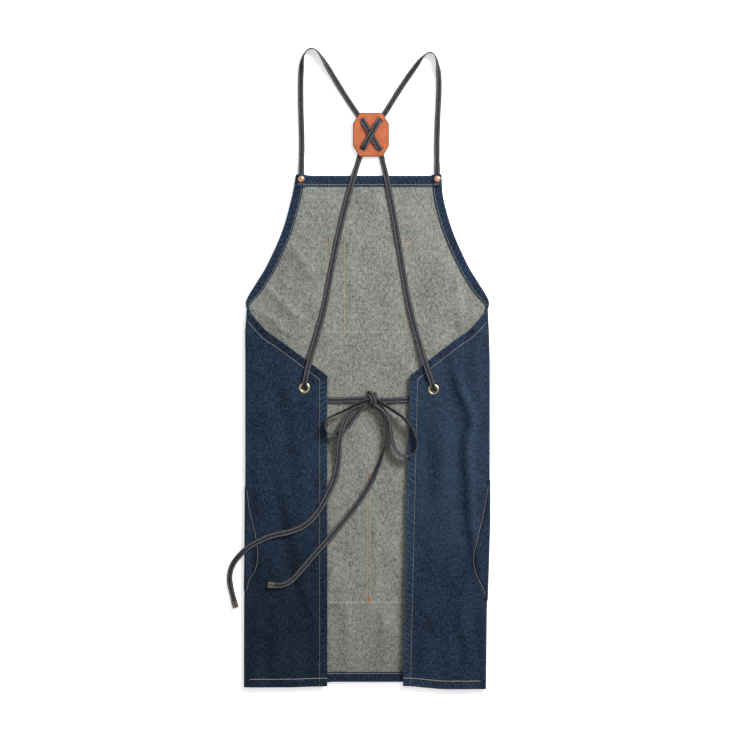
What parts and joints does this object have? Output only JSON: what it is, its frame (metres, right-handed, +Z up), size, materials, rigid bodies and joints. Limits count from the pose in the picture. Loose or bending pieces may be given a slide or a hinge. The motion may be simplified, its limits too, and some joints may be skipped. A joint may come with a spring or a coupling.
{
  "type": "apron",
  "caption": "Denim cross-back apron laid flat, sides folded inward, pockets beneath, straps crossing in a leather keeper, eyelets and ties knotted in a bow.",
  "frame": {"origin": "middle of the cloth's outline, on the surface that the apron lies on", "axes": "+X across the apron to the viewer's right, +Y towards the bib, +Z up out of the surface"},
  "size_m": [0.4459, 1.0856, 0.0162],
  "materials": {
    "denim": "indigo twill outside, grey inside",
    "strap_denim": "folded and topstitched dark denim",
    "leather": "tan vegetable leather, smooth",
    "copper": "polished copper",
    "brass": "polished brass"
  },
  "bodies": {
    "root": {"front_panel": "denim", "top_hem": "denim", "left_armhole_facing": "denim", "right_armhole_facing": "denim", "front_bottom_hem": "denim", "chest_pocket": "denim", "hand_pocket": "denim", "left_rivet": "copper", "left_rivet_burr": "copper", "left_shoulder_strap": "strap_denim", "left_back_strap": "strap_denim", "left_tie": "strap_denim", "left_bow_loop": "strap_denim", "left_tie_tail": "strap_denim", "right_rivet": "copper", "right_rivet_burr": "copper", "right_shoulder_strap": "strap_denim", "right_back_strap": "strap_denim", "right_tie": "strap_denim", "right_bow_loop": "strap_denim", "right_tie_tail": "strap_denim", "bow_knot": "strap_denim"},
    "keeper": {"keeper": "leather", "left_strap_crossing": "strap_denim", "right_strap_crossing": "strap_denim"},
    "left_wing": {"left_wing": "denim", "left_wing_facing": "denim", "left_wing_edge_hem": "denim", "left_wing_bottom_hem": "denim", "left_pocket_end": "denim", "left_grommet": "brass", "left_grommet_washer": "brass", "left_tie_lead": "strap_denim"},
    "right_wing": {"right_wing": "denim", "right_wing_facing": "denim", "right_wing_edge_hem": "denim", "right_wing_bottom_hem": "denim", "right_pocket_end": "denim", "right_grommet": "brass", "right_grommet_washer": "brass", "right_tie_lead": "strap_denim"}
  },
  "joints": [
    {"name": "keeper_slide", "type": "slide", "parent": "root", "child": "keeper", "axis": [0, 1, 0], "range_m": [-0.01, 0.01], "deforming": ["left_shoulder_strap", "left_back_strap", "right_shoulder_strap", "right_back_strap"]},
    {"name": "left_wing_fold", "type": "hinge", "parent": "root", "child": "left_wing", "pos_m": [-0.2043, -0.1, 0.0037], "axis": [0, -1, 0], "range_deg": [0, 12], "deforming": ["left_tie", "left_bow_loop", "left_tie_tail", "right_tie_tail"]},
    {"name": "right_wing_fold", "type": "hinge", "parent": "root", "child": "right_wing", "pos_m": [0.2043, -0.1, 0.0037], "axis": [0, 1, 0], "range_deg": [0, 12], "deforming": ["right_tie", "right_bow_loop"]}
  ]
}
